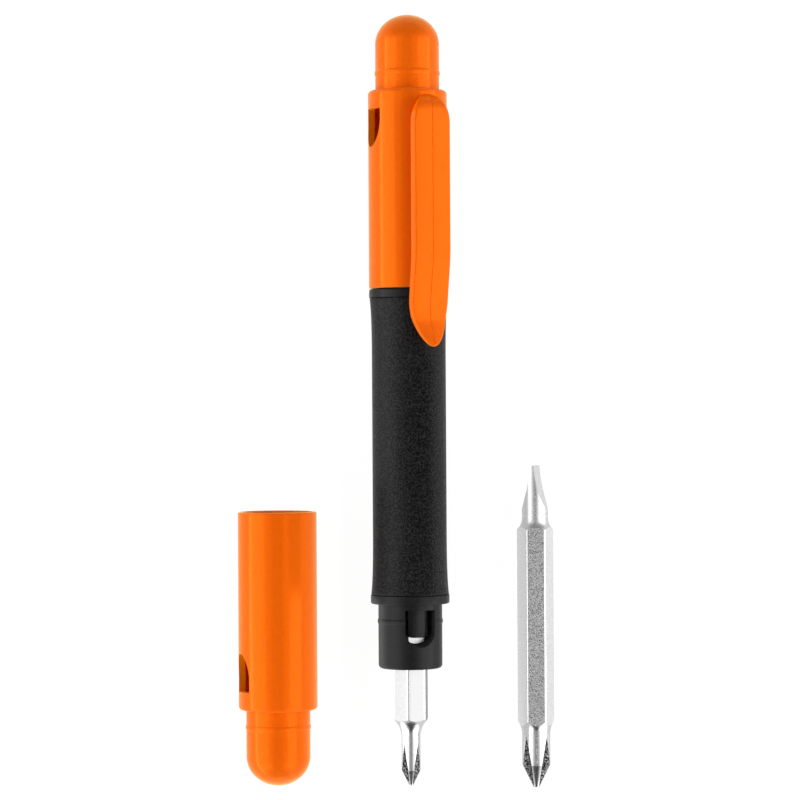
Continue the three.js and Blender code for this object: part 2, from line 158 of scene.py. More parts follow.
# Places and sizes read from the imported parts
core_low, core_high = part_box("barrel_core")
HANDLE_MIDDLE = (core_low + core_high) / 2
BODY_RADIUS = (core_high.z - core_low.z) / 2 / MM
CORE_HALF = (core_high.y - core_low.y) / 2 / MM
BARREL_HALF = CORE_HALF - COLLAR_LENGTH
GRIP_HALF = (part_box("grip_sleeve")[1].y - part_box("grip_sleeve")[0].y) / 2 / MM
CAP_BORE = BODY_RADIUS - CAP_WALL
CAP_LENGTH = CAP_TUBE_LENGTH + BOSS_LENGTH
BIT_LENGTH = CROSS_END_LENGTH + HEX_LENGTH + BLADE_END_LENGTH
HEX_CORNER_RADIUS = HEX_ACROSS_FLATS / math.sqrt(3)

# Fineness of the meshes, and how far a cutting tool overruns
ROUND_STEPS = 128
EDGE_STEPS = 5
CURVE_STEPS = 16
BEAD_STEPS = 8
SOFT_STEPS = 3
CLIP_EDGE_STEPS = 4
CLIP_STATION = 0.5
HEX_CORNER_STEPS = 6
MERGE_DISTANCE = 1e-4
CUT_TOLERANCE = 1e-5
NEAR = 0.01
OVERRUN = 1.0
SHARP_ANGLE = math.radians(24)

# Finishes in the order of a piece's material slots: plastic pieces, then bits
OUTSIDE, BORE, WINDOW_WALL, MATT_EDGE = range(4)
UPPER_FLAT, FLUTE, GROUND_FACE, CROSS_NECK, SIDE_FLAT, BLADE_NECK = range(6)
TOOL_SLOTS = 4

# How far a face leans in one direction when it gets one of those finishes
BORE_FACING = -0.1
SHOULDER_FACING = 0.75
ARCH_FACING = 0.3
CLIP_FRONT_FACING = 0.75
UPPER_FLAT_FACING = 0.9
FLAT_TURN_LIMIT = 3
FLAT_SLOPE_LIMIT = 0.01

HALF_TURN = Matrix.Rotation(math.pi, 4, "Z")


# Shapes, worked out in millimetres with the long axis along Y

def arc(x, y, radius_x, radius_y, start, end, steps):
    """Points of an elliptic arc with both of its ends, from angles in degrees."""
    turns = [math.radians(start + (end - start) * i / steps) for i in range(steps + 1)]
    return [(x + radius_x * math.cos(a), y + radius_y * math.sin(a)) for a in turns]


def bezier(*points, steps=CURVE_STEPS):
    """Points of a quadratic or cubic curve in the plane, with both of its ends."""
    if len(points) == 3:
        a, b, c = (Vector(p) for p in points)
        points = a, a.lerp(b, 2 / 3), c.lerp(b, 2 / 3), c
    return [tuple(p) for p in interpolate_bezier(*(Vector(p) for p in points), steps + 1)]


def lower_edge(radius, y, edge):
    """The rounded lower edge of a turned shape."""
    return arc(radius - edge, y + edge, edge, edge, -90, 0, EDGE_STEPS)


def upper_edge(radius, y, edge):
    """The rounded upper edge of a turned shape."""
    return arc(radius - edge, y - edge, edge, edge, 0, 90, EDGE_STEPS)


def bead(radius, y):
    """The snap bead, a shallow arc on the surface of a collar or boss."""
    half = BEAD_WIDTH / 2
    arc_radius = (BEAD_HEIGHT ** 2 + half ** 2) / (2 * BEAD_HEIGHT)
    reach = math.degrees(math.asin(half / arc_radius))
    return arc(radius + BEAD_HEIGHT - arc_radius, y, arc_radius, arc_radius, -reach, reach, BEAD_STEPS)


def mirrored(profile):
    """The other half of a profile that is the same above and below y = 0."""
    return [(radius, -height) for radius, height in reversed(profile)]


def turned(profile):
    """A shape turned about Y from a profile of radius and height."""
    shape = bmesh.new()
    points = [shape.verts.new((0, height, radius)) for radius, height in profile]
    for start, end in zip(points, points[1:]):
        shape.edges.new((start, end))
    bmesh.ops.spin(shape, geom=shape.verts[:] + shape.edges[:], axis=(0, 1, 0), cent=(0, 0, 0),
                   dvec=(0, 0, 0), angle=2 * math.pi, steps=ROUND_STEPS, use_merge=True)
    return closed_up(shape)


def closed_up(shape):
    """Merges doubled vertices and turns the faces outwards."""
    bmesh.ops.remove_doubles(shape, verts=shape.verts, dist=MERGE_DISTANCE)
    bmesh.ops.recalc_face_normals(shape, faces=shape.faces)
    return shape


def vertices_of(geometry):
    """The vertices in what an operator returns."""
    return [item for item in geometry if isinstance(item, bmesh.types.BMVert)]


def extruded(outline, low, high):
    """A plate with the given outline in X and Y, between two heights in Z."""
    shape = bmesh.new()
    face = shape.faces.new([shape.verts.new((x, y, low)) for x, y in outline])
    raised = bmesh.ops.extrude_face_region(shape, geom=[face], use_keep_orig=True)["geom"]
    bmesh.ops.translate(shape, verts=vertices_of(raised), vec=(0, 0, high - low))
    return closed_up(shape)


def moved(shape, matrix):
    """The same shape after a move or turn."""
    bmesh.ops.transform(shape, verts=shape.verts, matrix=matrix)
    return shape


def about_y(degrees):
    """A turn about the long axis, from +Z towards +X."""
    return Matrix.Rotation(math.radians(degrees), 4, "Y")


def shift(x, y, z):
    """A move without a turn."""
    return Matrix.Translation((x, y, z))


def painted(shape, index):
    """Gives every face the finish with that index."""
    for face in shape.faces:
        face.material_index = index
    return shape


def hexagon(across_flats, length, corner=0.0):
    """A hexagonal bar along Y, centred, with a flat facing +Z and its corners rounded."""
    shape = bmesh.new()
    radius = across_flats / math.sqrt(3)
    bmesh.ops.create_cone(shape, segments=6, radius1=radius, radius2=radius, depth=length, cap_ends=True)
    moved(shape, Matrix.Rotation(math.radians(-90), 4, "X"))
    moved(shape, about_y(HEX_HALF_ANGLE))
    if corner:
        long_edges = [e for e in shape.edges if abs((e.verts[0].co - e.verts[1].co).y) > length / 2]
        bmesh.ops.bevel(shape, geom=long_edges, offset=corner * math.tan(math.radians(HEX_HALF_ANGLE)),
                        offset_type="OFFSET", segments=HEX_CORNER_STEPS, profile=0.5, affect="EDGES",
                        material=-1)
    return closed_up(shape)


def paint_bores(shape):
    """Gives the faces that look towards the axis the finish of a bore."""
    for face in shape.faces:
        middle = face.calc_center_median()
        facing = face.normal.x * middle.x + face.normal.z * middle.z
        if face.material_index == OUTSIDE and facing < BORE_FACING:
            face.material_index = BORE


def operand(shape):
    """An object for a cut, with empty slots, so that its faces keep their finishes."""
    mesh = bpy.data.meshes.new("operand")
    shape.to_mesh(mesh)
    shape.free()
    for _ in range(TOOL_SLOTS):
        mesh.materials.append(None)
    item = bpy.data.objects.new("operand", mesh)
    bpy.context.scene.collection.objects.link(item)
    return item


def combined(shape, tool, operation="DIFFERENCE"):
    """The shape cut by the tool, joined with it or kept inside it."""
    first = operand(shape)
    second = operand(tool)
    modifier = first.modifiers.new("combine", "BOOLEAN")
    modifier.operation = operation
    modifier.solver = "EXACT"
    modifier.object = second
    graph = bpy.context.evaluated_depsgraph_get()
    mesh = bpy.data.meshes.new_from_object(first.evaluated_get(graph))
    result = bmesh.new()
    result.from_mesh(mesh)
    for item in (first, second):
        bpy.data.objects.remove(item)
    return result


def softened(shape, edges, width, segments=SOFT_STEPS):
    """Rounds the given edges of a shape."""
    bmesh.ops.bevel(shape, geom=edges, offset=width, offset_type="OFFSET", segments=segments,
                    profile=0.5, affect="EDGES", material=-1, clamp_overlap=True)
    return shape


def radius_of(vertex):
    """A vertex's distance from the long axis."""
    return math.hypot(vertex.co.x, vertex.co.z)


# Pieces of the handle

def window_tool(width, height, arch_height):
    """A tool for an arched window: straight across at y = 0, round towards -Y, reaching out along +Z."""
    half = width / 2
    arch = arc(0, arch_height - height, half, arch_height, 180, 360, 2 * CURVE_STEPS)
    return extruded([(-half, 0), *arch, (half, 0)], 0, BODY_RADIUS + OVERRUN)


def core_end():
    """Profile of the lower collar and flange, from the axis up to the grip."""
    fillet = arc(COLLAR_RADIUS + COLLAR_FILLET, -BARREL_HALF - COLLAR_FILLET,
                 COLLAR_FILLET, COLLAR_FILLET, 180, 90, EDGE_STEPS)
    core_radius = BODY_RADIUS - GRIP_WAIST_DEPTH - GRIP_WALL
    return [
        (0, -CORE_HALF),
        *lower_edge(COLLAR_RADIUS, -CORE_HALF, COLLAR_EDGE),
        *bead(COLLAR_RADIUS, -BARREL_HALF - BEAD_OFFSET),
        *fillet,
        *lower_edge(BODY_RADIUS, -BARREL_HALF, FLANGE_EDGE),
        (BODY_RADIUS, FLANGE_LENGTH - BARREL_HALF),
        (core_radius, FLANGE_LENGTH - BARREL_HALF),
    ]


def core_shape():
    """The handle's core, with a hexagonal socket and an arched window in each end."""
    lower = core_end()
    shape = turned([*lower, *mirrored(lower)])
    for end in (-1, 1):
        socket = hexagon(SOCKET_ACROSS_FLATS, 2 * SOCKET_DEPTH)
        shape = combined(shape, moved(socket, about_y(LATCH_ANGLE) @ shift(0, end * CORE_HALF, 0)))
        place = shift(0, end * (BARREL_HALF + COLLAR_WINDOW_SETBACK), 0)
        flip = HALF_TURN if end > 0 else Matrix.Identity(4)
        window = window_tool(COLLAR_WINDOW_WIDTH, COLLAR_WINDOW_HEIGHT, COLLAR_WINDOW_WIDTH / 2)
        for vertex in window.verts:
            depth = COLLAR_RADIUS - vertex.co.z
            vertex.co.y *= 1 - COLLAR_WINDOW_DRAFT * depth / COLLAR_WINDOW_HEIGHT
        shape = combined(shape, moved(painted(window, BORE), about_y(LATCH_ANGLE) @ place @ flip))
    paint_bores(shape)
    return shape


def grip_shape():
    """The rubber sleeve, which flares towards both flanges."""
    end_radius = BODY_RADIUS - GRIP_END_DEPTH
    waist = BODY_RADIUS - GRIP_WAIST_DEPTH
    lip = lower_edge(end_radius, -GRIP_HALF, GRIP_LIP)
    flare = bezier((end_radius, GRIP_LIP - GRIP_HALF), (waist, GRIP_FLARE_BEND - GRIP_HALF),
                   (waist, GRIP_FLARE_LENGTH - GRIP_HALF))
    lower = [*lip[:-1], *flare]
    bore = waist - GRIP_WALL + GRIP_BORE_CLEARANCE
    return turned([(bore, -GRIP_HALF), *lower, *mirrored(lower), (bore, GRIP_HALF), (bore, -GRIP_HALF)])


def latch_shape():
    """A tongue that hangs from the straight edge of a collar's window, which is at y = 0."""
    half = COLLAR_WINDOW_WIDTH / 2 - LATCH_SIDE_SLOT
    corner_x = half - LATCH_CORNER
    corner_y = LATCH_END_SLOT - COLLAR_WINDOW_HEIGHT + LATCH_CORNER
    outline = [
        (half, LATCH_ROOT),
        (-half, LATCH_ROOT),
        *arc(-corner_x, corner_y, LATCH_CORNER, LATCH_CORNER, 180, 270, CURVE_STEPS),
        *arc(corner_x, corner_y, LATCH_CORNER, LATCH_CORNER, 270, 360, CURVE_STEPS),
    ]
    outer = COLLAR_RADIUS - LATCH_RECESS
    tongue = extruded(outline, SOCKET_ACROSS_FLATS / 2, COLLAR_RADIUS)
    bar_end = [(0, -COLLAR_LENGTH), (outer, -COLLAR_LENGTH)]
    shape = combined(tongue, turned([*bar_end, *mirrored(bar_end)]), "INTERSECT")
    rim = [e for e in shape.edges if e.calc_face_angle(0) > math.radians(LATCH_RIM_ANGLE)
           and max(v.co.y for v in e.verts) < LATCH_ROOT - NEAR
           and min(radius_of(v) for v in e.verts) > outer - 2 * NEAR]
    return softened(shape, rim, LATCH_EDGE)


# Caps

def cap_shape():
    """A cap with its open rim at y = 0, its dome towards +Y and its window facing +Z."""
    boss_bore = COLLAR_RADIUS - BOSS_WALL
    dome_base = CAP_LENGTH - DOME_HEIGHT
    fillet = arc(COLLAR_RADIUS + COLLAR_FILLET, CAP_TUBE_LENGTH + COLLAR_FILLET,
                 COLLAR_FILLET, COLLAR_FILLET, 270, 180, EDGE_STEPS)
    shape = turned([
        *arc(0, dome_base, boss_bore, DOME_HEIGHT - BOSS_WALL, 90, 0, CURVE_STEPS),
        (boss_bore, CAP_TUBE_LENGTH - CAP_WALL),
        (CAP_BORE, CAP_TUBE_LENGTH - CAP_WALL),
        (CAP_BORE, MOUTH_CHAMFER),
        (CAP_BORE + MOUTH_CHAMFER, 0),
        *lower_edge(BODY_RADIUS, 0, RIM_EDGE),
        *upper_edge(BODY_RADIUS, CAP_TUBE_LENGTH, SHOULDER_EDGE),
        *fillet,
        *bead(COLLAR_RADIUS, CAP_TUBE_LENGTH + BEAD_OFFSET),
        *arc(0, dome_base, COLLAR_RADIUS, DOME_HEIGHT, 0, 90, 2 * CURVE_STEPS),
    ])
    window = painted(window_tool(CAP_WINDOW_WIDTH, CAP_WINDOW_HEIGHT, CAP_WINDOW_ARCH), WINDOW_WALL)
    shape = combined(shape, moved(window, shift(0, CAP_TUBE_LENGTH - CAP_WINDOW_SETBACK, 0)))
    paint_bores(shape)
    for face in shape.faces:
        off_shoulder = abs(face.calc_center_median().y - CAP_TUBE_LENGTH)
        if face.normal.y > SHOULDER_FACING and off_shoulder < SHOULDER_EDGE:
            face.material_index = MATT_EDGE
    return shape


# Pocket clip, on the side of the cap that faces +Z

CLIP_TOP = CAP_TUBE_LENGTH - CLIP_TOP_SETBACK
CLIP_TIP = CLIP_TOP - CLIP_LENGTH
CLIP_BEND = CLIP_TOP - CLIP_STRAIGHT_LENGTH
CLIP_HEEL = CLIP_TIP + CLIP_TOE_LENGTH
CLIP_ROOT_FOOT = CLIP_TOP - CLIP_ROOT_LENGTH
CLIP_INNER = BODY_RADIUS + CLIP_GAP
CLIP_OUTER = CLIP_INNER + CLIP_THICKNESS


def eased(share):
    """A share from 0 to 1 that starts and ends gently."""
    share = min(max(share, 0), 1)
    return share * share * (3 - 2 * share)


def toe_turn(y):
    """How far the toe has turned out at a height below the heel, from 0 to 1."""
    straight = CLIP_TOE_LENGTH - 2 * CLIP_TOE_EASE
    root = math.sqrt(CLIP_TOE_EASE ** 2 + straight * (CLIP_HEEL - y))
    return ((root - CLIP_TOE_EASE) / straight) ** 2


def clip_outer(y):
    """Distance of the clip's outer face from the cap's axis at a height above the rim."""
    heel_outer = BODY_RADIUS + CLIP_HEEL_GAP + CLIP_HEEL_THICKNESS
    if y < CLIP_HEEL:
        return heel_outer + CLIP_TOE_RISE * toe_turn(y)
    if y < CLIP_BEND:
        return heel_outer + (CLIP_OUTER - heel_outer) * eased((y - CLIP_HEEL) / (CLIP_BEND - CLIP_HEEL))
    crown = 1 - math.sqrt(min(max(CLIP_TOP - y, 0) / CLIP_CROWN_LENGTH, 1))
    return CLIP_OUTER - (CLIP_OUTER - BODY_RADIUS) * crown ** 2


def clip_inner(y):
    """Distance of the clip's inner face from the cap's axis at a height above the rim."""
    heel_inner = BODY_RADIUS + CLIP_HEEL_GAP
    if y < CLIP_HEEL:
        rise = CLIP_TOE_RISE + CLIP_HEEL_THICKNESS - CLIP_TIP_THICKNESS
        return heel_inner + rise * toe_turn(y)
    if y < CLIP_BEND:
        return heel_inner + (CLIP_INNER - heel_inner) * eased((y - CLIP_HEEL) / (CLIP_BEND - CLIP_HEEL))
    lip = max(y - CLIP_TOP + CLIP_CROWN_LENGTH, 0) / CLIP_CROWN_LENGTH
    return clip_outer(y) - CLIP_THICKNESS + (CLIP_THICKNESS - CLIP_LIP_THICKNESS) * lip


def clip_outline():
    """The clip seen from its front: a round top, straight sides and a narrowing, blunt tip."""
    half = CLIP_WIDTH / 2
    nose = CLIP_NOSE_WIDTH / 2
    top = arc(0, CLIP_TOP - CLIP_ARCH_HEIGHT, half, CLIP_ARCH_HEIGHT, 0, 180, 2 * CURVE_STEPS)
    left = bezier((-half, CLIP_TIP + CLIP_POINT_LENGTH), (-half, CLIP_TIP + CLIP_POINT_SHOULDER),
                  (-nose, CLIP_TIP), (0, CLIP_TIP), steps=2 * CURVE_STEPS)
    right = [(-x, y) for x, y in reversed(left[:-1])]
    return [*top, *left, *right]


def sliced(shape, place, normal):
    """Adds a line of edges where a plane meets the shape."""
    bmesh.ops.bisect_plane(shape, geom=shape.verts[:] + shape.edges[:] + shape.faces[:],
                           dist=CUT_TOLERANCE, plane_co=place, plane_no=normal)


def clip_shape():
    """A flat plate with rounded upper edges, bent to the clip's side view, with a root below its top."""
    shape = extruded(clip_outline(), 0, 1)
    upper_rim = [e for e in shape.edges if all(v.co.z > 1 - NEAR for v in e.verts)]
    softened(shape, upper_rim, CLIP_EDGE, CLIP_EDGE_STEPS)
    for station in range(1, int(CLIP_LENGTH / CLIP_STATION)):
        sliced(shape, (0, CLIP_TIP + station * CLIP_STATION, 0), (0, 1, 0))
    for x in (-CLIP_CREASE_WIDTH / 2, 0, CLIP_CREASE_WIDTH / 2):
        sliced(shape, (x, 0, 0), (1, 0, 0))
    for vertex in shape.verts:
        depth = 1 - vertex.co.z
        if depth > 1 - NEAR:
            vertex.co.z = clip_inner(vertex.co.y)
            continue
        if depth < MERGE_DISTANCE and abs(vertex.co.x) < MERGE_DISTANCE:
            depth = CLIP_CREASE_DEPTH
        vertex.co.z = clip_outer(vertex.co.y) - depth
    half = CLIP_ROOT_WIDTH / 2
    root_top = CLIP_TOP - CLIP_CROWN_LENGTH * CLIP_ROOT_TOP_SHARE
    root = extruded([(-half, CLIP_ROOT_FOOT), (half, CLIP_ROOT_FOOT), (half, root_top), (-half, root_top)],
                    BODY_RADIUS - CAP_WALL / 2, CLIP_INNER + CLIP_ROOT_SINK)
    shape = combined(closed_up(shape), root, "UNION")
    for face in shape.faces:
        if face.normal.y > ARCH_FACING and face.normal.z < CLIP_FRONT_FACING:
            face.material_index = MATT_EDGE
    return shape


# Bits

def neck_fillet(neck_radius, fillet, y):
    """The concave fillet between a neck and the shank, from the neck upwards; it ends at height y."""
    sweep = math.acos(1 - (HEX_CORNER_RADIUS + TURNING_ALLOWANCE - neck_radius) / fillet)
    start = y - fillet * math.sin(sweep)
    return arc(neck_radius + fillet, start, fillet, fillet, 180, 180 - math.degrees(sweep), CURVE_STEPS)


def bit_profile(bit):
    """Profile of a turned bit, from the tip of its cross point up to its blade."""
    neck = bit["cross_neck"] / 2
    tip = bit["cross_tip"] / 2
    cone = (neck - tip) / math.tan(math.radians(CROSS_CONE_ANGLE))
    blade = neck_fillet(bit["blade_neck"] / 2, BLADE_FILLET, BLADE_END_LENGTH)
    return [
        (0, 0),
        (tip, 0),
        (neck, cone),
        *neck_fillet(neck, CROSS_FILLET, CROSS_END_LENGTH),
        *[(radius, BIT_LENGTH - height) for radius, height in reversed(blade)],
        (bit["blade_neck"] / 2, BIT_LENGTH),
        (0, BIT_LENGTH),
    ]


def flute_tool(bit, angle):
    """A V-shaped tool for one flute, from the root on the tip until it runs out of the neck."""
    depth = bit["cross_neck"]
    half = depth * math.tan(math.radians(FLUTE_ANGLE / 2))
    slope = math.atan((bit["cross_neck"] - bit["flute_root"]) / 2 / bit["flute_length"])
    wedge = extruded([(0, 0), (half, depth), (-half, depth)], -bit["flute_length"] - OVERRUN, OVERRUN)
    stand = Matrix.Rotation(math.radians(90), 4, "X")
    lean = Matrix.Rotation(slope, 4, "X")
    place = about_y(angle) @ shift(0, 0, bit["flute_root"] / 2) @ lean @ stand
    return moved(painted(wedge, FLUTE), place)


def grinding_wheel(bit, angle):
    """A tool for one of the two hollow-ground sides of the blade, which faces the given angle from +X."""
    rise = (bit["blade_neck"] - bit["blade_thickness"]) / 2
    slope = math.atan(rise / bit["blade_flat"])
    half_chord = math.hypot(rise, bit["blade_flat"]) / 2
    lean = slope - math.asin(half_chord / WHEEL_RADIUS)
    wheel = bmesh.new()
    bmesh.ops.create_cone(wheel, segments=4 * ROUND_STEPS, radius1=WHEEL_RADIUS, radius2=WHEEL_RADIUS,
                          depth=2 * bit["blade_neck"], cap_ends=True)
    to_edge = shift(bit["blade_thickness"] / 2, BIT_LENGTH, 0)
    off_edge = shift(WHEEL_RADIUS * math.cos(lean), WHEEL_RADIUS * math.sin(lean), 0)
    return moved(painted(wheel, GROUND_FACE), about_y(angle) @ to_edge @ off_edge)


def on_shank_flat(face):
    """Whether a face of a bit lies on one of the six flats of the shank."""
    across = math.degrees(math.atan2(face.normal.x, face.normal.z))
    off_flat = abs((across + HEX_HALF_ANGLE) % (2 * HEX_HALF_ANGLE) - HEX_HALF_ANGLE)
    height = face.calc_center_median().y
    return (off_flat < FLAT_TURN_LIMIT and abs(face.normal.y) < FLAT_SLOPE_LIMIT
            and CROSS_FILLET < height < BIT_LENGTH - BLADE_FILLET)


def bit_shape(bit, cross_angle, blade_angle):
    """A bit with its cross point at y = 0, its blade towards +Y and a flat of its shank facing +Z."""
    bar = moved(hexagon(HEX_ACROSS_FLATS, BIT_LENGTH + OVERRUN, HEX_CORNER), shift(0, BIT_LENGTH / 2, 0))
    shape = combined(turned(bit_profile(bit)), bar, "INTERSECT")
    for turn in (45, 135, 225, 315):
        shape = combined(shape, flute_tool(bit, cross_angle + turn))
    for turn in (0, 180):
        shape = combined(shape, grinding_wheel(bit, blade_angle + turn))
    for face in shape.faces:
        if face.material_index != UPPER_FLAT:
            continue
        if not on_shank_flat(face):
            at_cross_end = face.calc_center_median().y < BIT_LENGTH / 2
            face.material_index = CROSS_NECK if at_cross_end else BLADE_NECK
        elif abs(face.normal.z) < UPPER_FLAT_FACING:
            face.material_index = SIDE_FLAT
    return shape


# Finishes: the orange, the light that passes into its walls, and a surface without gloss

ORANGE_LOW = (0.905, 0.129, 0.0)
ORANGE_HIGH = (0.945, 0.139, 0.001)
WALL_GLOW = dict(Subsurface_Weight=0.3, Subsurface_Radius=(1, 0.3, 0.05), Subsurface_Scale=0.0012)
MATT = dict(Specular_IOR_Level=0.0, Roughness=0.9)

# Places of the colour sockets on a Mix node
MIX_FIRST, MIX_SECOND, MIX_RESULT = 6, 7, 2


class Finish:
    """A material with a principled shader, and short ways to add its textures."""

    def __init__(self, name, **values):
        self.material = bpy.data.materials.new(name)
        self.material.use_nodes = True
        self.nodes = self.material.node_tree.nodes
        self.links = self.material.node_tree.links
        self.shader = self.nodes["Principled BSDF"]
        for socket, value in values.items():
            self.shader.inputs[socket.replace("_", " ")].default_value = value
        self.place = self.nodes.new("ShaderNodeTexCoord").outputs["Object"]

    def noise(self, size, detail=2, stretch=(1, 1, 1)):
        """Noise whose grains are about the given size in millimetres."""
        mapping = self.nodes.new("ShaderNodeMapping")
        mapping.inputs["Scale"].default_value = [s / (size * MM) for s in stretch]
        self.links.new(self.place, mapping.inputs["Vector"])
        texture = self.nodes.new("ShaderNodeTexNoise")
        texture.inputs["Scale"].default_value = 1.0
        texture.inputs["Detail"].default_value = detail
        self.links.new(mapping.outputs["Vector"], texture.inputs["Vector"])
        return texture.outputs["Fac"]

    def spread(self, value, low=0, high=1, start=0.3, end=0.7):
        """The value stretched from start and end to low and high."""
        node = self.nodes.new("ShaderNodeMapRange")
        node.inputs["From Min"].default_value = start
        node.inputs["From Max"].default_value = end
        node.inputs["To Min"].default_value = low
        node.inputs["To Max"].default_value = high
        self.links.new(value, node.inputs["Value"])
        return node.outputs["Result"]

    def colours(self, share, first, second):
        """A base colour between two colours, by a share from 0 to 1."""
        node = self.nodes.new("ShaderNodeMix")
        node.data_type = "RGBA"
        node.inputs[MIX_FIRST].default_value = (*first, 1)
        node.inputs[MIX_SECOND].default_value = (*second, 1)
        self.links.new(share, node.inputs["Factor"])
        self.links.new(node.outputs[MIX_RESULT], self.shader.inputs["Base Color"])

    def greys(self, share, dark, light):
        """A base colour between two greys, by a share from 0 to 1."""
        self.colours(share, (dark, dark, dark), (light, light, light))

    def roughness(self, size, detail, smoothest, roughest):
        """A roughness that wanders between two values, in patches of the given size in millimetres."""
        patches = self.spread(self.noise(size, detail), smoothest, roughest)
        self.links.new(patches, self.shader.inputs["Roughness"])

    def bump(self, height, depth):
        """A relief of the given depth in millimetres."""
        node = self.nodes.new("ShaderNodeBump")
        node.inputs["Distance"].default_value = depth * MM
        self.links.new(height, node.inputs["Height"])
        self.links.new(node.outputs["Normal"], self.shader.inputs["Normal"])


def orange_plastic():
    """Glossy moulded plastic, a little lighter and yellower where it turns away."""
    finish = Finish("orange_plastic", Metallic=0.15, Specular_IOR_Level=0.06, Specular_Tint=(1, 0.9, 0.5, 1),
                    Sheen_Weight=1.0, Sheen_Roughness=0.4, Sheen_Tint=(1, 0.78, 0.25, 1), **WALL_GLOW)
    finish.colours(finish.spread(finish.noise(0.4)), ORANGE_LOW, ORANGE_HIGH)
    finish.roughness(1.2, 4, smoothest=0.14, roughest=0.19)
    finish.bump(finish.noise(0.3, detail=3), 0.012)
    return finish.material


def orange_matt():
    """The same plastic without its gloss, on the caps' shoulders and round the top of the clip."""
    finish = Finish("orange_matt", **MATT, **WALL_GLOW)
    finish.colours(finish.spread(finish.noise(0.4)), ORANGE_LOW, ORANGE_HIGH)
    finish.bump(finish.noise(0.3, detail=3), 0.012)
    return finish.material


def orange_bore():
    """The matt inside of a cap, where some light comes through the wall; its colour is painted lighter and
    yellower than the plastic's own, as painted light in the shaded bore.
    """
    finish = Finish("orange_bore", **MATT, **WALL_GLOW)
    # Painted light: lighter and yellower than ORANGE_LOW and ORANGE_HIGH, for the shade inside the bore
    finish.colours(finish.spread(finish.noise(0.6)), (0.96, 0.18, 0.003), (1.0, 0.20, 0.004))
    return finish.material


def orange_edge():
    """The matt walls of a cap's window, painted lighter and yellower than the plastic's own colour, as
    painted light on these shaded walls.
    """
    finish = Finish("orange_edge", **MATT)
    # Painted light: lighter and yellower than the plastic, for the shade on the window's walls
    finish.colours(finish.spread(finish.noise(0.6)), (0.98, 0.24, 0.002), (1.0, 0.26, 0.003))
    return finish.material


def black_plastic():
    """Satin moulded plastic of the handle's core and its tongues."""
    finish = Finish("black_plastic", Specular_IOR_Level=0.14)
    finish.greys(finish.spread(finish.noise(0.4, detail=3)), 0.007, 0.012)
    finish.roughness(0.9, 4, smoothest=0.30, roughest=0.40)
    finish.bump(finish.noise(0.3, detail=3), 0.012)
    return finish.material


def black_bore():
    """The matt inside of a socket, painted lighter than the black plastic, as painted light in that shaded
    hollow.
    """
    finish = Finish("black_bore", **MATT)
    # Painted light: greys above black_plastic's, for the shade inside sockets and collar windows
    finish.greys(finish.spread(finish.noise(0.6)), 0.030, 0.040)
    return finish.material


def grip_rubber():
    """Moulded rubber with a fine stipple, lighter on its raised grains."""
    finish = Finish("grip_rubber", Specular_IOR_Level=0.12)
    grain = finish.noise(0.24)
    finish.greys(finish.spread(grain, start=0.44, end=0.60), 0.001, 0.022)
    finish.roughness(0.8, 4, smoothest=0.36, roughest=0.48)
    finish.bump(grain, 0.10)
    return finish.material


def rolled_steel():
    """The pebbled skin on the upper and lower flats of the spare bit's shank."""
    finish = Finish("rolled_steel", Metallic=1.0)
    grain = finish.noise(0.16, detail=1)
    finish.greys(finish.spread(grain, start=0.41, end=0.48), 0.36, 1.0)
    finish.roughness(0.5, 3, smoothest=0.2, roughest=0.3)
    finish.bump(grain, 0.012)
    return finish.material


def shank_steel():
    """The smoother side flats of the spare bit's shank."""
    finish = Finish("shank_steel", Metallic=1.0)
    grain = finish.noise(0.2)
    finish.greys(finish.spread(grain), 0.74, 0.88)
    finish.roughness(0.5, 3, smoothest=0.24, roughest=0.34)
    finish.bump(grain, 0.010)
    return finish.material


def fine_shank_steel():
    """The fine, even flats of the fitted bit's shank."""
    finish = Finish("fine_shank_steel", Metallic=1.0, Specular_Tint=(0.75, 0.75, 0.75, 1))
    finish.greys(finish.spread(finish.noise(0.5, detail=3)), 0.36, 0.40)
    finish.roughness(0.5, 3, smoothest=0.26, roughest=0.34)
    finish.bump(finish.noise(0.3), 0.006)
    return finish.material


def turned_steel(name, smoothest, roughest):
    """Necks and cones, with faint rings left by the lathe."""
    finish = Finish(name, Metallic=1.0)
    finish.greys(finish.spread(finish.noise(0.4, detail=3)), 0.60, 0.68)
    finish.roughness(0.5, 3, smoothest, roughest)
    finish.bump(finish.noise(0.3, stretch=(0.3, 2, 0.3)), 0.001)
    return finish.material


def flute_steel():
    """Milled flutes, coarse, and painted dark as painted shade in these grooves."""
    finish = Finish("flute_steel", Metallic=1.0)
    grain = finish.noise(0.18)
    # Painted shade: mostly near-black, for the shade in the flutes' grooves
    finish.greys(finish.spread(grain, start=0.49, end=0.63), 0.003, 0.65)
    finish.roughness(0.4, 3, smoothest=0.4, roughest=0.55)
    finish.bump(grain, 0.05)
    return finish.material


def ground_steel():
    """The hollow-ground sides of a blade, with marks across it from the wheel."""
    finish = Finish("ground_steel", Metallic=1.0)
    finish.greys(finish.spread(finish.noise(0.6, detail=3)), 0.70, 0.77)
    finish.roughness(0.4, 3, smoothest=0.25, roughest=0.35)
    finish.bump(finish.noise(0.2, stretch=(0.2, 2, 0.2)), 0.004)
    return finish.material


# Making the pieces

def as_piece(name, shape, place, materials, slot, *nodes):
    """An object at the origin with the shape placed in its mesh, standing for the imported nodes."""
    moved(shape, place @ Matrix.Scale(MM, 4))
    for edge in shape.edges:
        edge.smooth = edge.calc_face_angle(0) < SHARP_ANGLE
    for face in shape.faces:
        face.smooth = True
    mesh = bpy.data.meshes.new(name)
    shape.to_mesh(mesh)
    shape.free()
    for material in materials:
        mesh.materials.append(material)
    piece = bpy.data.objects.new(name, mesh)
    bpy.context.scene.collection.objects.link(piece)
    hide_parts(*nodes)
    return piece


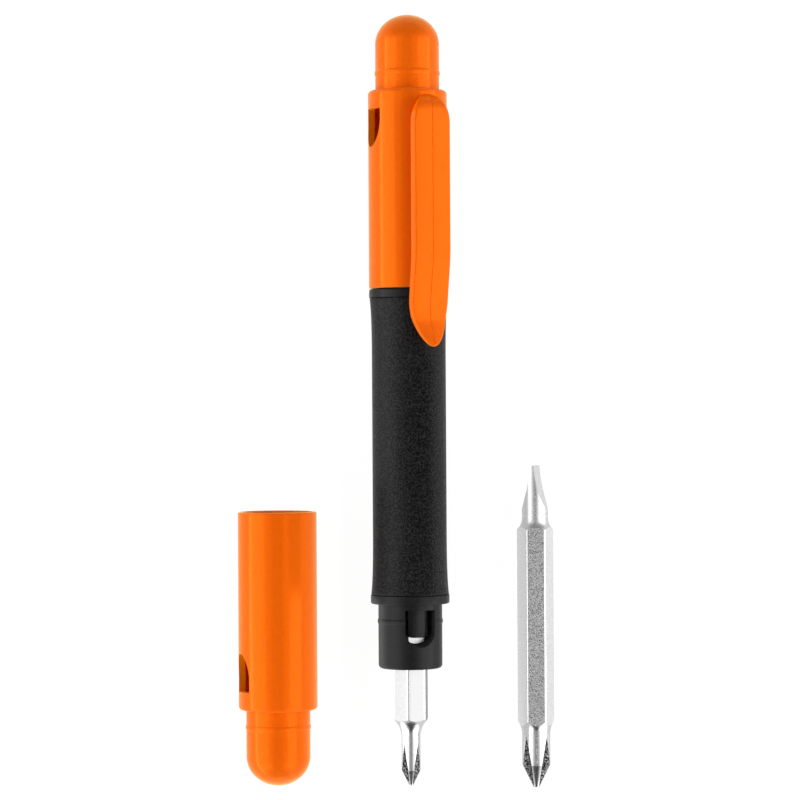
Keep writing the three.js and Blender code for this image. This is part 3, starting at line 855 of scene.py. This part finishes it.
def make_pieces():
    """The pieces of the set, with their finishes, places and bodies."""
    orange = [orange_plastic(), orange_bore(), orange_edge(), orange_matt()]
    black = [black_plastic(), black_bore()]
    rubber = grip_rubber()
    point_steels = [flute_steel(), ground_steel(), turned_steel("cross_neck_steel", 0.21, 0.27)]
    blade_neck = turned_steel("blade_neck_steel", 0.31, 0.37)
    handle = Matrix.Translation(HANDLE_MIDDLE)

    core = as_piece("handle_core", core_shape(), handle, black, "black_plastic", "barrel_core")
    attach(core, "handle")
    grip = as_piece("rubber_grip", grip_shape(), handle, [rubber], "black_rubber", "grip_sleeve")
    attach(grip, "handle")

    window_edge = (BARREL_HALF + COLLAR_WINDOW_SETBACK) * MM
    for end, node, body in ((-1, "lower_bit_latch", "lower_latch"), (1, "upper_bit_latch", "upper_latch")):
        place = handle @ shift(0, end * window_edge, 0) @ about_y(LATCH_ANGLE)
        if end > 0:
            place = place @ HALF_TURN
        tongue = as_piece(body + "_tongue", latch_shape(), place, black[:1], "black_plastic", node)
        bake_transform(tongue)

    rim = Vector((HANDLE_MIDDLE.x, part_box("clip_cap")[0].y, HANDLE_MIDDLE.z))
    cap_place = Matrix.Translation(rim) @ about_y(CAP_WINDOW_ANGLE)
    clip_place = Matrix.Translation(rim) @ about_y(CLIP_ANGLE)
    upper_cap = as_piece("upper_cap", cap_shape(), cap_place, orange, "orange_plastic", "clip_cap")
    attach(upper_cap, "clip_cap")
    clip = as_piece("spring_clip", clip_shape(), clip_place, orange, "orange_plastic", "pocket_clip")
    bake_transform(clip)

    cap_low, cap_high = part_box("plain_cap")
    mouth = shift((cap_low.x + cap_high.x) / 2, cap_high.y, BODY_RADIUS * MM)
    plain = mouth @ about_y(CAP_WINDOW_ANGLE) @ HALF_TURN
    loose_cap = as_piece("lower_cap", cap_shape(), plain, orange, "orange_plastic", "plain_cap")
    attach(loose_cap, "loose_cap")

    tip = Vector((HANDLE_MIDDLE.x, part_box("small_bit")[0].y, HANDLE_MIDDLE.z))
    small = Matrix.Translation(tip) @ about_y(SMALL_BIT_ANGLE)
    fine_steel = fine_shank_steel()
    small_steels = [fine_steel, *point_steels, fine_steel, blade_neck]
    fitted_bit = as_piece("bit_in_handle", bit_shape(SMALL_BIT, -SMALL_BIT_ANGLE, 0), small, small_steels,
                          "bright_steel", "small_bit")
    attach(fitted_bit, "fitted_bit")

    bit_low, bit_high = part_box("large_bit")
    large = shift((bit_low.x + bit_high.x) / 2, bit_low.y, (bit_low.z + bit_high.z) / 2)
    large_steels = [rolled_steel(), *point_steels, shank_steel(), blade_neck]
    spare_bit = as_piece("bit_on_table", bit_shape(LARGE_BIT, 0, LARGE_BLADE_ANGLE), large, large_steels,
                         "bright_steel", "large_bit")
    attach(spare_bit, "spare_bit")


# Studio: the camera in millimetres and degrees, with its view measured at the handle's height

VIEW_WIDTH = 124.03
CAMERA_LENS = 135
CAMERA_SENSOR = 36
CAMERA_X = 0.69
CAMERA_Y = 0.42
CAMERA_ROLL = -0.33
CAMERA_NEAR = 10

# Floor, large cards and lamps in metres and watts
FLOOR_HALF = 3.0
FLOOR_DROP = 0.0002
FLOOR_GREY = 0.85
FLOOR_WHITE = 1.04
FLOOR_WHITE_SEEN = 0.93
FLOOR_WHITE_MIRRORED = 0.64
FRONT_Y, BACK_Y, ROOF_Z = -0.5, 0.6, 0.7
ROOF_WIDTH, ROOF_GREY = 0.46, 0.33
FRONT_WIDTH, FRONT_GREY = 0.4, 0.05
BACK_WIDTH, BACK_GREY = 1.4, 0.3
AMBIENT = 0.43
SOFTBOX = dict(target=(0, 0, 0), length=1.0, height=0.6, power=3.5)
STRIP = dict(target=(0, 0, 0.01), length=1.0, height=0.1)
LAMPS = dict(
    left_softbox=dict(place=(-0.56, -0.14, 0.31), **SOFTBOX),
    right_softbox=dict(place=(0.56, -0.14, 0.31), **SOFTBOX),
    left_strip=dict(place=(-0.5, -0.14, 0.065), power=0.9, **STRIP),
    right_strip=dict(place=(0.5, -0.14, 0.065), power=0.7, **STRIP),
)

# Small upright cards beside the pieces, in metres, out of the camera's sight
SCREENS = dict(
    spare_bit_screen=dict(x=0.013, low_y=-0.07, high_y=0.045, height=0.009, side=1, white=0.7),
    loose_cap_screen=dict(x=-0.0085, low_y=-0.065, high_y=-0.012, height=0.0125, side=-1, white=0.9),
    fitted_bit_screen=dict(x=-0.0105, low_y=-0.07, high_y=-0.031, height=0.0125, side=1, white=2.3),
    grip_screen=dict(x=-0.0105, low_y=-0.031, high_y=-0.012, height=0.0125, side=1, white=0.6),
    grip_flag=dict(x=0.0125, low_y=-0.0305, high_y=0.010, foot=0.0115, height=0.04, side=-1, white=0.1),
)


def make_camera():
    """A camera straight above the set, at the height from which the photograph was taken."""
    data = bpy.data.cameras.new("camera")
    data.lens = CAMERA_LENS
    data.sensor_width = CAMERA_SENSOR
    data.clip_start = CAMERA_NEAR * MM
    camera = bpy.data.objects.new("camera", data)
    height = VIEW_WIDTH * CAMERA_LENS / CAMERA_SENSOR * MM
    camera.location = (CAMERA_X * MM, CAMERA_Y * MM, HANDLE_MIDDLE.z + height)
    camera.rotation_euler = (0, 0, math.radians(CAMERA_ROLL))
    bpy.context.scene.collection.objects.link(camera)
    bpy.context.scene.camera = camera


def stage_strip(name, width, start, end, material):
    """A flat strip across X between two places in Y and Z."""
    (start_y, start_z), (end_y, end_z) = start, end
    shape = bmesh.new()
    edge = shape.edges.new([shape.verts.new((x, start_y, start_z)) for x in (-width / 2, width / 2)])
    grown = bmesh.ops.extrude_edge_only(shape, edges=[edge])["geom"]
    bmesh.ops.translate(shape, verts=vertices_of(grown), vec=(0, end_y - start_y, end_z - start_z))
    return on_stage(name, shape, material)


def standing_card(name, x, low_y, high_y, height, side, white, foot=0.0):
    """An upright card along Y that faces +X or -X by its side."""
    shape = bmesh.new()
    edge = shape.edges.new([shape.verts.new((x, y, foot)) for y in (low_y, high_y)])
    grown = bmesh.ops.extrude_edge_only(shape, edges=[edge])["geom"]
    bmesh.ops.translate(shape, verts=vertices_of(grown), vec=(0, 0, height))
    shape.normal_update()
    bmesh.ops.reverse_faces(shape, faces=[face for face in shape.faces if face.normal.x * side < 0])
    return on_stage(name, shape, one_sided_white(name + "_white", white))


def on_stage(name, shape, material):
    """An object of the studio, which isn't part of the set."""
    mesh = bpy.data.meshes.new(name)
    shape.to_mesh(mesh)
    shape.free()
    mesh.materials.append(material)
    plane = bpy.data.objects.new(name, mesh)
    bpy.context.scene.collection.objects.link(plane)
    return plane


def seen_share(tree, camera_share, mirror_share):
    """One value for what the camera sees directly, one for mirrors and glass, and nothing for other rays."""
    path = tree.nodes.new("ShaderNodeLightPath")
    total = None
    for output, share in (("Is Camera Ray", camera_share), ("Is Glossy Ray", mirror_share),
                          ("Is Transmission Ray", mirror_share)):
        node = tree.nodes.new("ShaderNodeMath")
        node.operation = "MULTIPLY_ADD"
        node.inputs[1].default_value = share
        node.inputs[2].default_value = 0
        tree.links.new(path.outputs[output], node.inputs[0])
        if total is not None:
            tree.links.new(total, node.inputs[2])
        total = node.outputs[0]
    return total


def matt_card(name, grey):
    """Matt grey, for the floor and for the cards that the steel and the plastic reflect."""
    material = bpy.data.materials.new(name)
    material.use_nodes = True
    shader = material.node_tree.nodes["Principled BSDF"]
    shader.inputs["Base Color"].default_value = (grey, grey, grey, 1)
    shader.inputs["Roughness"].default_value = 1
    shader.inputs["Specular IOR Level"].default_value = 0
    return material


def floor_material():
    """A white floor that keeps a light shadow of the object."""
    material = matt_card("white_floor", FLOOR_GREY)
    tree = material.node_tree
    glow = tree.nodes.new("ShaderNodeEmission")
    glow.inputs["Strength"].default_value = FLOOR_WHITE
    mix = tree.nodes.new("ShaderNodeMixShader")
    tree.links.new(seen_share(tree, FLOOR_WHITE_SEEN, FLOOR_WHITE_MIRRORED), mix.inputs["Fac"])
    tree.links.new(tree.nodes["Principled BSDF"].outputs["BSDF"], mix.inputs[1])
    tree.links.new(glow.outputs["Emission"], mix.inputs[2])
    tree.links.new(mix.outputs["Shader"], tree.nodes["Material Output"].inputs["Surface"])
    return material


def one_sided_white(name, strength):
    """White on the front of a card, and nothing on its back."""
    material = bpy.data.materials.new(name)
    material.use_nodes = True
    tree = material.node_tree
    tree.nodes.remove(tree.nodes["Principled BSDF"])
    glow = tree.nodes.new("ShaderNodeEmission")
    glow.inputs["Strength"].default_value = strength
    clear = tree.nodes.new("ShaderNodeBsdfTransparent")
    mix = tree.nodes.new("ShaderNodeMixShader")
    tree.links.new(tree.nodes.new("ShaderNodeNewGeometry").outputs["Backfacing"], mix.inputs["Fac"])
    tree.links.new(glow.outputs["Emission"], mix.inputs[1])
    tree.links.new(clear.outputs["BSDF"], mix.inputs[2])
    tree.links.new(mix.outputs["Shader"], tree.nodes["Material Output"].inputs["Surface"])
    return material


def make_world():
    """Even light from all sides, which the camera and mirrors see as white."""
    world = bpy.data.worlds.new("studio")
    bpy.context.scene.world = world
    world.use_nodes = True
    tree = world.node_tree
    background = tree.nodes["Background"]
    background.inputs["Color"].default_value = (1, 1, 1, 1)
    add = tree.nodes.new("ShaderNodeMath")
    add.operation = "ADD"
    add.inputs[1].default_value = AMBIENT
    tree.links.new(seen_share(tree, 1 - AMBIENT, 1 - AMBIENT), add.inputs[0])
    tree.links.new(add.outputs[0], background.inputs["Strength"])


def make_lamp(name, place, target, length, height, power):
    """A rectangular lamp that shines from its place towards its target."""
    data = bpy.data.lights.new(name, "AREA")
    data.shape = "RECTANGLE"
    data.size = length
    data.size_y = height
    data.energy = power
    lamp = bpy.data.objects.new(name, data)
    lamp.location = place
    aim = Vector(target) - Vector(place)
    lamp.rotation_euler = aim.to_track_quat("-Z", "Y").to_euler()
    bpy.context.scene.collection.objects.link(lamp)


def make_studio():
    """The floor, the cards, the lamps and the light from all sides."""
    stage_strip("floor", 2 * FLOOR_HALF, (-FLOOR_HALF, -FLOOR_DROP), (FLOOR_HALF, -FLOOR_DROP),
                floor_material())
    roof = stage_strip("roof_card", ROOF_WIDTH, (FRONT_Y, ROOF_Z), (BACK_Y, ROOF_Z),
                       matt_card("grey_card", ROOF_GREY))
    front = stage_strip("front_card", FRONT_WIDTH, (FRONT_Y, 0.0), (FRONT_Y, ROOF_Z),
                        matt_card("front_black", FRONT_GREY))
    back = stage_strip("back_card", BACK_WIDTH, (BACK_Y, 0.0), (BACK_Y, ROOF_Z),
                       matt_card("back_grey", BACK_GREY))
    screens = [standing_card(name, **values) for name, values in SCREENS.items()]
    for card in (roof, front, back, *screens):
        card.visible_camera = False
    for card in (front, back, *screens):
        card.visible_diffuse = card.name == "loose_cap_screen"
        card.visible_shadow = False
    for name, values in LAMPS.items():
        make_lamp(name, **values)
    make_world()
    bpy.context.scene.view_settings.view_transform = "Standard"


make_camera()
make_studio()
make_pieces()
